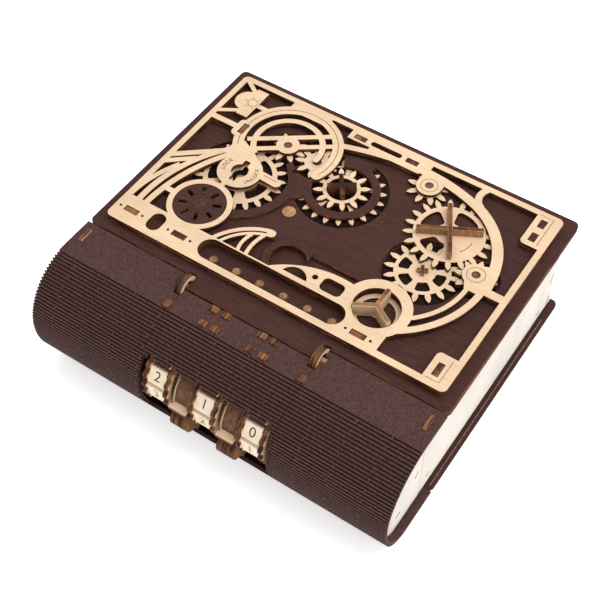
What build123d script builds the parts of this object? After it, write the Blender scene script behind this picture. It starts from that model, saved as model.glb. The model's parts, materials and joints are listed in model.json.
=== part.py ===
from build123d import *
import math
import os

# A book-shaped puzzle box of laser-cut plywood.  The lid carries a geared lock, and the
# round spine holds three code wheels.
# Frame: X runs along the spine, Y from the spine to the fore-edge, Z up.  Everything is drawn
# with Z = 0 on top of the lid and Y = 0 at the lid's front edge, then moved so that the origin
# is the middle of the footprint, on the surface that the box stands on.

os.makedirs("parts", exist_ok=True)

# ---------------------------------------------------------------- driving dimensions (mm)
lid_length = 260.0
lid_depth = 170.0
case_height = 83.5
ply = 2.4
corner_radius = 4.0
lid_gap = 0.4            # air between the lid and the walls under it
seam = 0.3               # air between neighbouring boards that move
face_gap = 0.1           # air on each flat side of a turning gear
shaft_gap = 0.05         # running clearance, on the radius
slot_gap = 0.1           # clearance round a tab in its slot

wall_inset = 5.2         # end walls stand in from the ends of the cover boards
fore_edge_y = 167.0      # fore-edge wall at its top and bottom
fore_edge_dip = 5.5      # how far the fore-edge is hollowed

spine_radius_y = 39.3    # round of the spine, upper half
spine_radius_z = 42.0
spine_centre_y = -24.0
heel_radius_y = 29.3     # round of the spine, lower half
heel_centre_y = -34.0

hinge_y = -7.0
hinge_z = -ply
hinge_pin_radius = 2.2
hinge_eye_radius = 8.8
tongue_half = 45.8       # half-width of the lid's tongue between the two hinge eyes
tongue_front = -9.8
eye_width = 2 * ply
open_angle = 110.0

wheel_y = -39.5          # axis of the code wheels
wheel_z = -36.4
wheel_pitch = 34.5
wheel_shift = 2.2        # the middle wheel stands this far right of the middle
wheel_digits = 10
wheel_flat_radius = 22.6
tile_width = 12.4
tile_length = 11.4
flange_radius = 24.4
flange_thick = 3.4
wheel_axle_radius = 3.0
window_left = -45.5
window_right = 48.5
window_top = -16.6
rim_slot_top = -13.5
window_bottom = -66.0
nose_radius = 8.0
nose_y = -58.5
nose_z = -51.3

gear_module = 2.64
addendum = 3.3
dedendum = 3.2
tooth_length = 9.4
tooth_width = 3.9
pin_radius = 2.8         # dowels that the lid's gears turn on

frame_inset = 7.6        # frame plate, from the ends of the lid
frame_front = 7.7
frame_back = 162.1
frame_bar = 4.2

# gear centres on the lid
key_x, key_y = -73.0, 84.7
hub_x, hub_y = -60.0, 121.4
idler_x, idler_y = -36.5, 121.0
twin_x, twin_y = -10.3, 109.6
main_x, main_y = 66.0, 114.7
crest_x, crest_y = 36.0, 141.6
link_x, link_y = 96.3, 93.1
lower_x, lower_y = 66.4, 80.9
dial_x, dial_y = -77.5, 47.0
spoke_x, spoke_y = 59.3, 38.4
lock_x, lock_y = -6.0, 41.4

lock_outer = 16.4        # ring-shaped lock plate, and the slot behind the wing
lock_inner = 11.7
lock_end = 4.0
lock_slot_end = 38.0
lock_slot_front = 44.0
lock_slot_back = 53.5

key_teeth = 21
hub_teeth = 8
idler_teeth = 9
twin_small_teeth = 12
twin_large_teeth = 20
main_teeth = 20
crest_teeth = 9
link_teeth = 8
lower_teeth = 16
key_phase = 4.2
twin_large_phase = 9.8
main_phase = 9.4

rack_module = 1.0        # little rack and pinion under the lid
rack_teeth = 8
bolt_width = 9.0
bolt_turn = 90.0         # turn of the key from open to locked

# ---------------------------------------------------------------- derived places
half_length = lid_length / 2
wall_x = half_length - wall_inset
frame_half = half_length - frame_inset
lid_under = -2 * ply
wall_top = lid_under - lid_gap
floor_top = -case_height + 2 * ply
nose_reach = -(nose_y - nose_radius)
middle_y = (lid_depth - nose_reach) / 2
eye_inner = tongue_half + seam
eye_outer = eye_inner + eye_width
eye_slot = eye_outer + seam
spine_panel_back = -0.4
inner_wall_top = hinge_z - hinge_eye_radius - 1.0
inner_wall_y = -3.6


# ---------------------------------------------------------------- flat shapes
def disc(x, y, radius):
    return Pos(x, y) * Circle(radius)


def block(x0, y0, x1, y1):
    return Pos((x0 + x1) / 2, (y0 + y1) / 2) * Rectangle(x1 - x0, y1 - y0)


def round_block(x0, y0, x1, y1, radius):
    return Pos((x0 + x1) / 2, (y0 + y1) / 2) * RectangleRounded(x1 - x0, y1 - y0, radius)


def bar(x0, y0, x1, y1, width):
    length = math.hypot(x1 - x0, y1 - y0)
    angle = math.degrees(math.atan2(y1 - y0, x1 - x0))
    return Pos((x0 + x1) / 2, (y0 + y1) / 2) * Rot(0, 0, angle) * Rectangle(length, width)


def round_bar(x0, y0, x1, y1, width):
    length = math.hypot(x1 - x0, y1 - y0) + width
    angle = math.degrees(math.atan2(y1 - y0, x1 - x0))
    return Pos((x0 + x1) / 2, (y0 + y1) / 2) * Rot(0, 0, angle) * SlotOverall(length, width)


def ring(x, y, outer, inner):
    return disc(x, y, outer) - disc(x, y, inner)


def ring_part(x, y, outer, inner, start, end):
    """A ring between two angles, counted counter-clockwise from +X."""
    outside = CenterArc((x, y), outer, start, end - start)
    inside = CenterArc((x, y), inner, start, end - start)
    edges = [outside, Line(outside @ 1, inside @ 1), inside, Line(inside @ 0, outside @ 0)]
    return make_face(edges)


def curved_bar(first, middle, last, width):
    """A bar of even width along the circle through three points."""
    (ax, ay), (bx, by), (cx, cy) = first, middle, last
    d = 2 * (ax * (by - cy) + bx * (cy - ay) + cx * (ay - by))
    a2, b2, c2 = ax * ax + ay * ay, bx * bx + by * by, cx * cx + cy * cy
    x = (a2 * (by - cy) + b2 * (cy - ay) + c2 * (ay - by)) / d
    y = (a2 * (cx - bx) + b2 * (ax - cx) + c2 * (bx - ax)) / d
    radius = math.hypot(ax - x, ay - y)
    start = math.degrees(math.atan2(ay - y, ax - x))
    end = math.degrees(math.atan2(cy - y, cx - x))
    if d < 0:
        start, end = end, start
    if end < start:
        end += 360
    return ring_part(x, y, radius + width / 2, radius - width / 2, start, end)


def plate(shape, z, thick=ply):
    """A flat board with its underside at z."""
    return extrude(Plane.XY.offset(z) * shape, amount=thick)


def side_plate(shape, x, thick=ply):
    """A board drawn in Y and Z, with its lower X face at x."""
    return extrude(Plane.YZ.offset(x) * shape, amount=thick)


def solid_box(x0, x1, y0, y1, z0, z1):
    return Pos((x0 + x1) / 2, (y0 + y1) / 2, (z0 + z1) / 2) * Box(x1 - x0, y1 - y0, z1 - z0)


def rod_x(x0, x1, y, z, radius):
    return Pos((x0 + x1) / 2, y, z) * Rot(0, 90, 0) * Cylinder(radius, x1 - x0)


def rod_z(x, y, z0, z1, radius):
    return Pos(x, y, (z0 + z1) / 2) * Cylinder(radius, z1 - z0)


def joined(shapes):
    result = shapes[0]
    for shape in shapes[1:]:
        result = result + shape
    return result


def save(name, shapes):
    """Write one node: its separate solids, moved to the part's own origin."""
    shift = Pos(0, -middle_y, case_height)
    solids = []
    for shape in shapes:
        solids.extend((shift * shape).solids())
    export_step(Compound(children=solids), os.path.join("parts", name + ".step"))


# ---------------------------------------------------------------- gears
def pitch_radius(teeth):
    return gear_module * teeth / 2


def tip_radius(teeth):
    return pitch_radius(teeth) + addendum


def gear_shape(x, y, teeth, phase):
    """A wheel with leaf-shaped teeth; phase is the angle of one tooth."""
    tip = tip_radius(teeth)
    base = max(tip - tooth_length, 0.5)
    middle = (tip + base) / 2
    upper = ThreePointArc((base, 0), (middle, tooth_width / 2), (tip, 0))
    lower = ThreePointArc((tip, 0), (middle, -tooth_width / 2), (base, 0))
    leaf = make_face([upper, lower])
    shape = Circle(pitch_radius(teeth) - dedendum)
    for index in range(teeth):
        shape = shape + Rot(0, 0, phase + index * 360 / teeth) * leaf
    return Pos(x, y) * shape


def meshed_phase(x0, y0, teeth0, phase0, x1, y1, teeth1):
    """The phase that puts the second gear in mesh with the first."""
    line = math.degrees(math.atan2(y1 - y0, x1 - x0))
    share = (teeth0 * (line - phase0) / 360) % 1
    return line + 180 - (360 / teeth1) * (0.5 - share)


hub_phase = meshed_phase(key_x, key_y, key_teeth, key_phase, hub_x, hub_y, hub_teeth)
idler_phase = meshed_phase(hub_x, hub_y, hub_teeth, hub_phase, idler_x, idler_y, idler_teeth)
twin_small_phase = meshed_phase(
    idler_x, idler_y, idler_teeth, idler_phase, twin_x, twin_y, twin_small_teeth)
crest_phase = meshed_phase(main_x, main_y, main_teeth, main_phase, crest_x, crest_y, crest_teeth)
link_phase = meshed_phase(main_x, main_y, main_teeth, main_phase, link_x, link_y, link_teeth)
lower_phase = meshed_phase(link_x, link_y, link_teeth, link_phase, lower_x, lower_y, lower_teeth)


def keyhole(x, y, radius, notch_half, notch_width):
    return disc(x, y, radius) + Pos(x, y) * Rectangle(notch_width, 2 * notch_half)


def windows(x, y, count, inner, outer, half_angle, first):
    """Openings between the spokes of a wheel."""
    shapes = []
    for index in range(count):
        middle = first + index * 360 / count
        opening = ring_part(x, y, outer, inner, middle - half_angle, middle + half_angle)
        shapes.append(fillet(opening.vertices(), 1.4))
    return shapes


# ---------------------------------------------------------------- case
def spine_region(inset):
    """The end view of the book's back, in Y and Z, drawn in by an even amount."""
    radius_y, radius_z = spine_radius_y - inset, spine_radius_z - inset
    heel_y, heel_z = heel_radius_y - inset, case_height - spine_radius_z - inset
    far = spine_centre_y - spine_radius_y - 5
    upper = Pos(spine_centre_y, -spine_radius_z) * Ellipse(radius_y, radius_z)
    upper = upper & block(far, -spine_radius_z, spine_centre_y, 0)
    lower = Pos(heel_centre_y, -spine_radius_z) * Ellipse(heel_y, heel_z)
    lower = lower & block(far, -case_height, heel_centre_y, -spine_radius_z)
    top = block(spine_centre_y, -spine_radius_z, spine_panel_back, -inset)
    foot = block(heel_centre_y, -case_height + inset, spine_panel_back, -spine_radius_z)
    return upper + lower + top + foot


def fore_edge_shape():
    """The hollow fore-edge in Y and Z."""
    middle = (wall_top + floor_top) / 2
    outside = ThreePointArc(
        (fore_edge_y, wall_top), (fore_edge_y - fore_edge_dip, middle), (fore_edge_y, floor_top))
    inside = ThreePointArc(
        (fore_edge_y - ply, wall_top), (fore_edge_y - fore_edge_dip - ply, middle),
        (fore_edge_y - ply, floor_top))
    edges = [outside, Line(outside @ 1, inside @ 1), inside, Line(inside @ 0, outside @ 0)]
    return make_face(edges)


def page_wall_shape():
    """An end wall between the seam at the spine and the fore-edge."""
    middle = (wall_top + floor_top) / 2
    hollow = ThreePointArc(
        (fore_edge_y, wall_top), (fore_edge_y - fore_edge_dip, middle), (fore_edge_y, floor_top))
    seam_y = spine_seam_y + seam
    edges = [
        hollow, Line(hollow @ 1, (seam_y, floor_top)),
        Line((seam_y, floor_top), (seam_y, inner_wall_top)),
        Line((seam_y, inner_wall_top), (hinge_y + 16, inner_wall_top)),
        Line((hinge_y + 16, inner_wall_top), (hinge_y + 16, wall_top)),
        Line((hinge_y + 16, wall_top), hollow @ 0)]
    return make_face(edges)


spine_seam_y = -13.0
wheel_centres = [wheel_shift + step * wheel_pitch for step in (-1, 0, 1)]
tab_columns = (-21.8, -13.4, 12.8, 21.4)
tab_rows = (-13.2, -25.2)
tab_wide, tab_deep = 5.6, 4.3
edge_tab_x = 48.4
edge_tab_y = -25.2
bracket_front, bracket_back = -16.2, -5.6
former_x = eye_slot + 0.2
former_far_x = 88.0

back_cover = plate(
    round_block(-half_length, -5, half_length, lid_depth, corner_radius), -case_height)
floor_board = plate(
    block(-wall_x + 0.2, heel_centre_y, wall_x - 0.2, fore_edge_y - 1.5), -case_height + ply)

bracket = block(bracket_front, wall_top - 6, bracket_back, 1.0)
spine_end_shape = spine_region(ply + seam) & block(-70, floor_top, spine_seam_y, 0)
spine_end_shape = spine_end_shape + (bracket & block(-70, -12, bracket_back, 1.0))
page_wall = page_wall_shape() - block(-70, wall_top - 6, bracket_back + seam, 0)
comb_slot = block(-17.0, wheel_z - 7, -6.0, wheel_z + 7)

spine_ends = []
page_walls = []
for side in (-1, 1):
    low = wall_x - ply if side > 0 else -wall_x
    spine_ends.append(side_plate(spine_end_shape, low))
    page_walls.append(side_plate(page_wall, low))

fore_edge_wall = side_plate(fore_edge_shape(), -wall_x + ply, 2 * (wall_x - ply))
bolt_x = key_x + rack_module * rack_teeth / 2 + bolt_width / 2 + 1.25
bolt_top = lid_under - ply - 0.2
fore_edge_wall = fore_edge_wall - solid_box(
    bolt_x - bolt_width / 2 - 1, bolt_x + bolt_width / 2 + 1, 150, 175, bolt_top - ply - 1, 0)

inner_spine_wall = solid_box(
    -wall_x + ply, wall_x - ply, inner_wall_y, inner_wall_y + ply, floor_top, inner_wall_top)


def skin_part(x0, x1):
    """One length of the ribbed spine skin, with its flat top and its foot."""
    shell = spine_region(0) - spine_region(ply)
    length = side_plate(shell, x0, x1 - x0)
    return length - solid_box(x0, x1, spine_panel_back - 0.1, 1, -case_height, 0)


skin_seam_left = -46.2
skin_seam_right = 50.6
skin_left = skin_part(-half_length, skin_seam_left - seam / 2)
skin_centre = skin_part(skin_seam_left + seam / 2, skin_seam_right - seam / 2)
skin_right = skin_part(skin_seam_right + seam / 2, half_length)

# the foot of the skin stops where the back cover begins
foot_stop = solid_box(-half_length - 1, half_length + 1, -5 - 0.05, 5, -case_height - 1, -60)
skin_left = skin_left - foot_stop
skin_centre = skin_centre - foot_stop
skin_right = skin_right - foot_stop

# clearance for the hinge eyes and for the lid's tongue
eye_clearance = []
for side in (-1, 1):
    low = min(side * (tongue_half - 0.3), side * eye_slot)
    high = max(side * (tongue_half - 0.3), side * eye_slot)
    eye_clearance.append(solid_box(
        low, high, hinge_y - hinge_eye_radius - 0.4, 5, -ply - 1, 5))
tongue_space = solid_box(-tongue_half - 0.2, tongue_half + 0.2, tongue_front - 1.1, 5, -6, 5)
skin_left = skin_left - eye_clearance[0]
skin_right = skin_right - eye_clearance[1]
skin_centre = skin_centre - eye_clearance[0] - eye_clearance[1] - tongue_space

wheel_window = solid_box(
    window_left, window_right, -80, wheel_y, window_bottom, window_top)
skin_centre = skin_centre - wheel_window
rim_slots = []
for centre in wheel_centres:
    for inner in (centre - tile_width / 2 - flange_thick, centre + tile_width / 2):
        rim_slots.append(solid_box(
            inner - seam, inner + flange_thick + seam, -80, wheel_y, wheel_z, rim_slot_top))
for slot in rim_slots:
    skin_centre = skin_centre - slot

tab_slots = []
spine_tabs = []
for x in tab_columns:
    for y in tab_rows:
        tab_slots.append(solid_box(
            x - tab_wide / 2 - slot_gap, x + tab_wide / 2 + slot_gap,
            y - tab_deep / 2 - slot_gap, y + tab_deep / 2 + slot_gap, -4, 1))
        spine_tabs.append(solid_box(
            x - tab_wide / 2, x + tab_wide / 2, y - tab_deep / 2, y + tab_deep / 2, -9.0, 1.2))
for cut in tab_slots:
    skin_centre = skin_centre - cut
edge_tabs = []
for side, offset in ((-1, 0.0), (1, 0.2)):
    x = side * edge_tab_x + offset
    edge_tabs.append(solid_box(
        x - ply, x + ply, edge_tab_y - 2.6, edge_tab_y + 2.6, -9.0, 1.2))
    cut = solid_box(
        x - ply - slot_gap, x + ply + slot_gap, edge_tab_y - 2.7, edge_tab_y + 2.7, -4, 2)
    skin_left = skin_left - cut
    skin_centre = skin_centre - cut
    skin_right = skin_right - cut
bracket_cut = []
for side in (-1, 1):
    low = wall_x - ply if side > 0 else -wall_x
    bracket_cut.append(solid_box(
        low - slot_gap, low + ply + slot_gap, bracket_front - slot_gap,
        bracket_back + slot_gap, -4, 2))
skin_left = skin_left - bracket_cut[0]
skin_right = skin_right - bracket_cut[1]

# board under the spine panel that the tabs stand on
tab_board = solid_box(-44.0, 44.0, -30.5, tongue_front - 1.4, -9.0 - ply, -9.0)

# formers: D-shaped boards that carry the hinge pins, the wheel axle and the comb
former_shape = spine_region(ply + 0.1) & block(-70, floor_top, inner_wall_y, -ply - 0.1)
former_shape = former_shape - comb_slot
former_near = former_shape - disc(wheel_y, wheel_z, wheel_axle_radius)
former_near = former_near - disc(hinge_y, hinge_z, hinge_pin_radius)
formers = []
for low in (-former_x - ply, former_x):
    formers.append(side_plate(former_near, low))
for low in (-former_far_x - ply, former_far_x):
    formers.append(side_plate(former_shape, low))

hinge_pins = []
for side in (-1, 1):
    low = min(side * (eye_inner + 0.1), side * (former_x + ply))
    high = max(side * (eye_inner + 0.1), side * (former_x + ply))
    hinge_pins.append(rod_x(low, high, hinge_y, hinge_z, hinge_pin_radius))
pin_slots = solid_box(
    -former_x - ply - 0.2, former_x + ply + 0.2, hinge_y - hinge_pin_radius - 0.2,
    hinge_y + hinge_pin_radius + 0.2, -ply - 1, 0.5)
skin_left = skin_left - pin_slots
skin_right = skin_right - pin_slots

# ---------------------------------------------------------------- code wheels
wheel_half = tile_width / 2 + flange_thick
wheel_axle = rod_x(-former_x - ply, former_x + ply, wheel_y, wheel_z, wheel_axle_radius)
step_angle = 360 / wheel_digits
first_angle = 148.0      # the tile that shows the code leans up towards the reader
gate_depth = 5.0
gate_radius = 19.5
gate_width = 4.0
gate_thick = ply


def scalloped_rim(radius, hollows, hollow_radius):
    shape = Circle(radius)
    for index in range(hollows):
        spot = Rot(0, 0, index * 360 / hollows) * Pos(radius + hollow_radius * 0.35, 0)
        shape = shape - spot * Circle(hollow_radius)
    return shape


def along_axle(shape, x, thick):
    """A disc of a code wheel, drawn round its own centre, at x along the axle."""
    return extrude(Plane.YZ.offset(x) * (Pos(wheel_y, wheel_z) * shape), amount=thick)


drum_outline = RegularPolygon(wheel_flat_radius - ply, wheel_digits, major_radius=False)
drum_outline = Rot(0, 0, first_angle + 180 / wheel_digits) * drum_outline
axle_bore = Circle(wheel_axle_radius + shaft_gap)
rim_outline = scalloped_rim(flange_radius, 20, 2.6) - axle_bore
gate_outline = Circle(gate_radius) - axle_bore
for side in (-1, 1):
    gate_notch = Rectangle(2 * gate_depth, gate_width)
    gate_outline = gate_outline - Pos(side * gate_radius, 0) * gate_notch

drums = []
rims = []
tiles = []
for centre in wheel_centres:
    left = centre - wheel_half
    core = along_axle(drum_outline - axle_bore, centre - tile_width / 2, tile_width)
    gate = along_axle(gate_outline, centre + wheel_half, gate_thick)
    drums.append([core, gate])
    rims.append([
        along_axle(rim_outline, left, flange_thick),
        along_axle(rim_outline, centre + tile_width / 2, flange_thick)])
    row = []
    for index in range(wheel_digits):
        angle = first_angle + index * step_angle
        tile = Pos(wheel_flat_radius - ply / 2, 0, 0) * Box(ply, tile_length, tile_width)
        # the tile lies in the wheel's own plane: local X outwards, local Z along the axle
        place = Plane.YZ.offset(centre) * Pos(wheel_y, wheel_z) * Rot(0, 0, angle)
        row.append(place * tile)
    tiles.append(row)

divider_blocks = []
divider_noses = []
pointers = []
for centre in wheel_centres[:2]:
    low = centre + wheel_half + gate_thick + 0.3
    high = centre + wheel_pitch - wheel_half - 0.3
    body = ring(wheel_y, wheel_z, wheel_flat_radius - 1.5, wheel_axle_radius)
    body = body & block(-70, -70, wheel_y + 4, -10)
    divider_blocks.append(side_plate(body, low, high - low))
    nose = disc(nose_y, nose_z, nose_radius) + bar(nose_y, nose_z, -52, -62, 9)
    nose = nose - disc(wheel_y, wheel_z, wheel_flat_radius - 1.5)
    nose = nose & block(-70, -66, -40, -38.6)
    middle = low + (high - low) * 0.55
    divider_noses.append(side_plate(nose, low, middle - low - 0.4))
    divider_noses.append(side_plate(nose, middle + 0.4, high - middle - 0.4))
    strip = solid_box(low - 0.2, high + 0.2, -66.0, -60.4, -38.6, -38.6 + ply)
    pointers.append(strip - side_plate(body, low - 1, high - low + 2))

# locking comb: slides towards the wheels so that its teeth enter the gates
comb_y = -9.6
comb_travel = 4.5
comb_teeth_y = wheel_y + gate_radius + 0.6
comb = solid_box(-former_x - ply - 6, former_x + ply + 6, comb_y, comb_y + ply,
                 wheel_z - 5, wheel_z + 5)
for centre in wheel_centres:
    tooth_left = centre + wheel_half + 0.4
    comb = comb + solid_box(
        tooth_left, tooth_left + gate_thick - 0.8, comb_teeth_y, comb_y + 1,
        wheel_z - gate_width / 2 + 0.5, wheel_z + gate_width / 2 - 0.5)

# ---------------------------------------------------------------- lid boards
lid_outline = round_block(-half_length, spine_panel_back + 0.7, half_length, lid_depth,
                          corner_radius)
lid_outline = lid_outline + block(-tongue_half, tongue_front, tongue_half, 12)
for side in (-1, 1):
    low = min(side * tongue_half, side * eye_slot)
    high = max(side * tongue_half, side * eye_slot)
    lid_outline = lid_outline - block(low, -6, high, hinge_y + hinge_eye_radius + 0.4)

shaft_radius = 3.0
lid_base_shape = lid_outline - disc(key_x, key_y, shaft_radius + shaft_gap)
lid_base = plate(lid_base_shape, lid_under)

pocket_gap = 1.6


def pocket(x, y, teeth):
    return disc(x, y, tip_radius(teeth) + pocket_gap)


top_pockets = [
    pocket(key_x, key_y, key_teeth), pocket(hub_x, hub_y, hub_teeth),
    pocket(twin_x, twin_y, twin_large_teeth), pocket(link_x, link_y, link_teeth),
    pocket(lower_x, lower_y, lower_teeth), disc(dial_x, dial_y, 9),
    disc(spoke_x, spoke_y, 16), round_block(-58, 11.5, 48.5, 29.4, 8.8),
    disc(lock_x, lock_y, lock_inner) & block(lock_x - 20, 32.0, lock_x + 20, lock_slot_back),
    block(lock_x, lock_slot_front, lock_slot_end, lock_slot_back)]
lid_top_shape = lid_outline
for hole in top_pockets:
    lid_top_shape = lid_top_shape - hole
lid_top = plate(lid_top_shape, -ply)

# ---------------------------------------------------------------- frame plate
frame_block = round_block(-frame_half, frame_front, frame_half, frame_back, corner_radius)
frame_open = block(-frame_half + frame_bar, 29.6, frame_half - frame_bar, frame_back - frame_bar)
low_open = block(75.0, 12.2, frame_half - frame_bar, 40)

hub_ring_outer, hub_ring_inner = 37.0, 29.6
small_ring_outer, small_ring_inner = 25.0, 21.0
bar_angle = math.radians(35.5)


def crossing_bar(offset, reach_back, reach_on, width):
    """A bar past the hub, in the direction of the two crossing bars."""
    cx = hub_x - offset * math.sin(bar_angle)
    cy = hub_y + offset * math.cos(bar_angle)
    return bar(cx - reach_back * math.cos(bar_angle), cy - reach_back * math.sin(bar_angle),
               cx + reach_on * math.cos(bar_angle), cy + reach_on * math.sin(bar_angle), width)


def boss(x, y, radius):
    return disc(x, y, radius)


border = frame_block - frame_open - round_block(75.0, 12.2, 114, 60, 8) - low_open
corner_blocks = [
    round_block(105.4, 9.0, frame_half - 1, 31.8, 3.0),
    round_block(105.4, 131.4, frame_half - 1, frame_back - 1, 3.0)]
top_band = [
    block(-31.5, 149.6, 25.5, frame_back - 1),
    round_block(24.0, 152.5, 30.0, frame_back - 1, 1.5),
    block(-79.0, 150.0, -48.0, frame_back - 1)]
emblem = [
    disc(-106.5, 141.4, 9.2) & block(-120, 130, -106.5, 152),
    block(-107.0, 127.6, -98.2, 154.9),
    bar(-118.5, 159.0, -104.0, 149.0, 3.2),
    bar(-119.0, 123.0, -104.0, 132.5, 3.2),
    block(-99.0, 139.0, -88.0, 142.6)]
left_struts = [
    block(-120.0, 115.2, -96.0, 119.6),
    round_block(-99.6, 109.6, -90.4, 125.4, 3.5),
    bar(-120.0, 71.5, -88.0, 97.5, 4.2),
    bar(-120.0, 64.5, -103.0, 78.5, 3.8),
    curved_bar((-112.0, 27.0), (-108.5, 62.0), (-90.0, 97.0), 4.2),
    curved_bar((-106.5, 27.0), (-101.5, 62.0), (-84.0, 98.0), 4.2),
    curved_bar((-119.5, 30.0), (-117.0, 48.0), (-109.0, 68.0), 3.6),
    bar(-103.0, 46.3, -96.0, 46.3, 4.0)]
rings = [
    ring_part(hub_x, hub_y, hub_ring_outer, hub_ring_inner, -22.5, 227),
    disc(hub_x + 33.3 * math.cos(math.radians(-22.5)),
         hub_y + 33.3 * math.sin(math.radians(-22.5)), 3.7),
    ring_part(hub_x, hub_y, small_ring_outer, small_ring_inner, -3.5, 232),
    disc(hub_x + 23 * math.cos(math.radians(-3.5)), hub_y + 23 * math.sin(math.radians(-3.5)), 2.0),
    boss(hub_x, hub_y, 7.9),
    crossing_bar(6.8, 27, 32, 3.8),
    crossing_bar(-2.4, 31, 32, 3.8)]
node_plate = make_face(Polyline(
    (-91.5, 104.5), (-86.0, 109.0), (-74.0, 103.0), (-66.0, 97.0), (-66.0, 90.0),
    (-84.0, 90.0), (-91.0, 95.5), close=True))
rosette = [
    disc(key_x, key_y, 15.0),
    bar(-62.0, 89.2, -47.0, 88.4, 6.6),
    disc(-47.0, 88.4, 3.3),
    bar(-75.2, 73.0, -75.2, 64.0, 3.4)]
dial_ring = ring(dial_x, dial_y, 21.2, 17.4)
blade = [
    curved_bar((-54.0, 28.5), (-44.6, 42.6), (-26.2, 53.2), 2.9),
    curved_bar((-49.0, 28.5), (-41.0, 40.8), (-24.8, 49.8), 2.2),
    disc(-25.3, 51.6, 3.0),
    curved_bar((-29.0, 28.5), (-30.0, 40.0), (-28.0, 48.5), 2.6),
    curved_bar((-35.0, 28.5), (-36.6, 37.8), (-35.0, 44.6), 2.4)]
long_arc = [
    curved_bar((-33.0, 139.5), (-10.0, 146.2), (28.0, 151.0), 4.4),
    block(-14.0, 146.5, 25.0, 151.0)]
crest = [
    disc(crest_x, crest_y, 8.5),
    block(crest_x - 8.5, crest_y, crest_x + 8.5, 151.0),
    curved_bar((24.0, 150.8), (47.0, 148.9), (71.0, 142.0), 6.4),
    curved_bar((68.0, 143.5), (95.0, 122.5), (105.3, 95.0), 7.0),
    curved_bar((69.5, 159.0), (67.6, 150.0), (73.0, 143.0), 4.6)]
link_body = make_face(Polyline(
    (103.0, 104.0), (108.6, 98.0), (109.6, 88.0), (106.0, 80.0), (95.0, 80.0),
    (92.0, 86.0), (96.0, 101.0), close=True))
right_parts = [
    disc(link_x, link_y, 8.6),
    link_body,
    block(104.0, 81.8, frame_half - 1, 87.6),
    curved_bar((105.4, 82.0), (97.5, 53.0), (74.0, 28.0), 4.4),
    curved_bar((96.6, 84.0), (92.4, 60.0), (80.0, 43.0), 3.0)]
spoke_ring = disc(spoke_x, spoke_y, 21.8)
wing = make_face([
    ThreePointArc((-12.0, 30.0), (8.0, 42.0), (42.0, 45.4)),
    Line((42.0, 45.4), (42.0, 28.0)), Line((42.0, 28.0), (-12.0, 28.0)),
    Line((-12.0, 28.0), (-12.0, 30.0))])
ring_foot = make_face(Polyline(
    (45.0, 24.0), (75.0, 24.0), (82.0, 36.5), (62.0, 42.0), (45.0, 42.0), close=True))

frame_shape = border
for group in (corner_blocks, top_band, emblem, left_struts, rings, [node_plate], rosette,
              [dial_ring], blade, long_arc, crest, right_parts, [spoke_ring, wing, ring_foot]):
    for shape in group:
        frame_shape = frame_shape + shape

slots = [
    (-109.8, 18.6, 10.4, 4.4), (-72.3, 18.6, 10.4, 4.4), (60.4, 15.7, 10.4, 4.2),
    (-23.2, 153.5, 9.0, 4.2), (16.3, 153.5, 9.0, 4.2), (-93.5, 117.7, 4.3, 9.6),
    (111.5, 151.8, 4.6, 7.2), (111.5, 139.2, 4.6, 7.4), (111.5, 20.2, 4.3, 10.0)]
small_holes = [(-118.4, 18.6), (-101.2, 18.6), (-80.9, 18.6), (-63.7, 18.6), (51.8, 15.7),
               (69.0, 15.7)]
frame_holes = [
    round_block(-96.0, 12.2, -86.0, 26.8, 4.9),
    round_block(-57.3, 12.3, 47.6, 28.4, 8.0),
    round_block(-15.0, 151.6, 8.2, 155.6, 1.9),
    keyhole(key_x, key_y, 5.8, 9.7, 4.2),
    disc(dial_x, dial_y, 17.4),
    disc(spoke_x, spoke_y, 15.0),
    disc(hub_x, hub_y, pin_radius),
    disc(crest_x, crest_y, pin_radius),
    disc(link_x, link_y, pin_radius),
    round_block(21.8, 31.6, 36.6, 41.8, 3.4),
    disc(16.3, 37.8, 1.9),
    make_face([Line((-3.5, 31.8), (13.6, 31.8)), ThreePointArc((13.6, 31.8), (8.0, 37.6), (-3.5, 31.8))])]
for hole in frame_holes:
    frame_shape = frame_shape - hole
for x, y, wide, deep in slots:
    frame_shape = frame_shape - Pos(x, y) * Rectangle(wide, deep)
for x, y in small_holes:
    frame_shape = frame_shape - disc(x, y, 0.9)
frame_plate = plate(frame_shape, ply)

# ---------------------------------------------------------------- dark guard and spacer
guard_gap = 0.6
twin_small_tip = tip_radius(twin_small_teeth)
guard_shape = ring_part(twin_x, twin_y, 25.2, twin_small_tip + guard_gap, -166, 78)
guard_shape = guard_shape + ring_part(key_x, key_y, 38.4, 32.0, -75, 50)
guard_shape = guard_shape + make_face(Polyline(
    (-50.0, 113.0), (-33.0, 105.0), (-28.0, 90.0), (-38.0, 82.0), (-42.0, 96.0), (-53.0, 109.0),
    close=True))
guard_shape = guard_shape - disc(idler_x, idler_y, tip_radius(idler_teeth) + guard_gap)
guard_shape = guard_shape - disc(hub_x, hub_y, tip_radius(hub_teeth) + guard_gap)
guard_shape = guard_shape - disc(twin_x, twin_y, twin_small_tip + guard_gap)
guard_shape = guard_shape - Pos(-44.0, 105.6) * Rectangle(3.6, 3.6)
guard_plate = plate(guard_shape, 0)

lock_shape = ring(lock_x, lock_y, lock_outer, lock_inner) & block(-23, 29.6, lock_end, 60)
lock_plate = plate(lock_shape, 0)

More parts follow.
